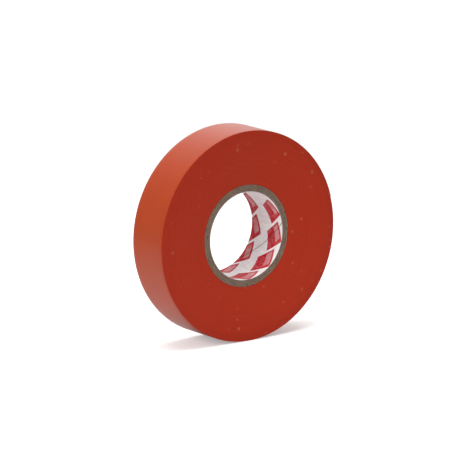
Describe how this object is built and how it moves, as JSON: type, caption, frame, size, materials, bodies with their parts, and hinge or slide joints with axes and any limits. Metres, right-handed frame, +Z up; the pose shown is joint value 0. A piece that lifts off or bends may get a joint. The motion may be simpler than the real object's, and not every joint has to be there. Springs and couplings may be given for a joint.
{
  "type": "electrical tape roll",
  "caption": "Roll of electrical insulating tape on a spirally wound paper core, standing on its rim, with a free end that peels off the roll.",
  "frame": {"origin": "on the roll's axis, half way across the outermost turns of tape", "axes": "+Y along the roll's axis and away from the front face, +Z up, so the roll stands on its rim"},
  "size_m": [0.0836, 0.0215, 0.0837],
  "materials": {
    "pvc_tape": "satin orange-red PVC film",
    "chipboard": "raw grey-brown chipboard",
    "printed_paper": "white paper with plain red blocks"
  },
  "bodies": {
    "roll": {"core_liner": "printed_paper", "core_inner_ply": "chipboard", "core_middle_ply": "chipboard", "core_outer_ply": "chipboard", "wound_tape": "pvc_tape"},
    "free_end_1": {"free_end_1": "pvc_tape"},
    "free_end_2": {"free_end_2": "pvc_tape"},
    "free_end_3": {"free_end_3": "pvc_tape"},
    "free_end_4": {"free_end_4": "pvc_tape"},
    "free_end_5": {"free_end_5": "pvc_tape"},
    "free_end_6": {"free_end_6": "pvc_tape"}
  },
  "joints": [
    {"name": "peel", "type": "hinge", "parent": "roll", "child": "free_end_1", "pos_m": [0.01773, 0, 0.0379], "axis": [0, -1, 0], "range_deg": [0, 40]},
    {"name": "bend_2", "type": "hinge", "parent": "free_end_1", "child": "free_end_2", "pos_m": [0.02296, 0, 0.03498], "axis": [0, -1, 0], "range_deg": [0, 8]},
    {"name": "bend_3", "type": "hinge", "parent": "free_end_2", "child": "free_end_3", "pos_m": [0.02773, 0, 0.03134], "axis": [0, -1, 0], "range_deg": [0, 8]},
    {"name": "bend_4", "type": "hinge", "parent": "free_end_3", "child": "free_end_4", "pos_m": [0.03193, 0, 0.02706], "axis": [0, -1, 0], "range_deg": [0, 8]},
    {"name": "bend_5", "type": "hinge", "parent": "free_end_4", "child": "free_end_5", "pos_m": [0.03547, 0, 0.02222], "axis": [0, -1, 0], "range_deg": [0, 8]},
    {"name": "bend_6", "type": "hinge", "parent": "free_end_5", "child": "free_end_6", "pos_m": [0.03828, 0, 0.01693], "axis": [0, -1, 0], "range_deg": [0, 8]}
  ],
  "couplings": [
    {"joint": "bend_2", "follows": "peel", "ratio": 0.2},
    {"joint": "bend_3", "follows": "peel", "ratio": 0.2},
    {"joint": "bend_4", "follows": "peel", "ratio": 0.2},
    {"joint": "bend_5", "follows": "peel", "ratio": 0.2},
    {"joint": "bend_6", "follows": "peel", "ratio": 0.2}
  ]
}
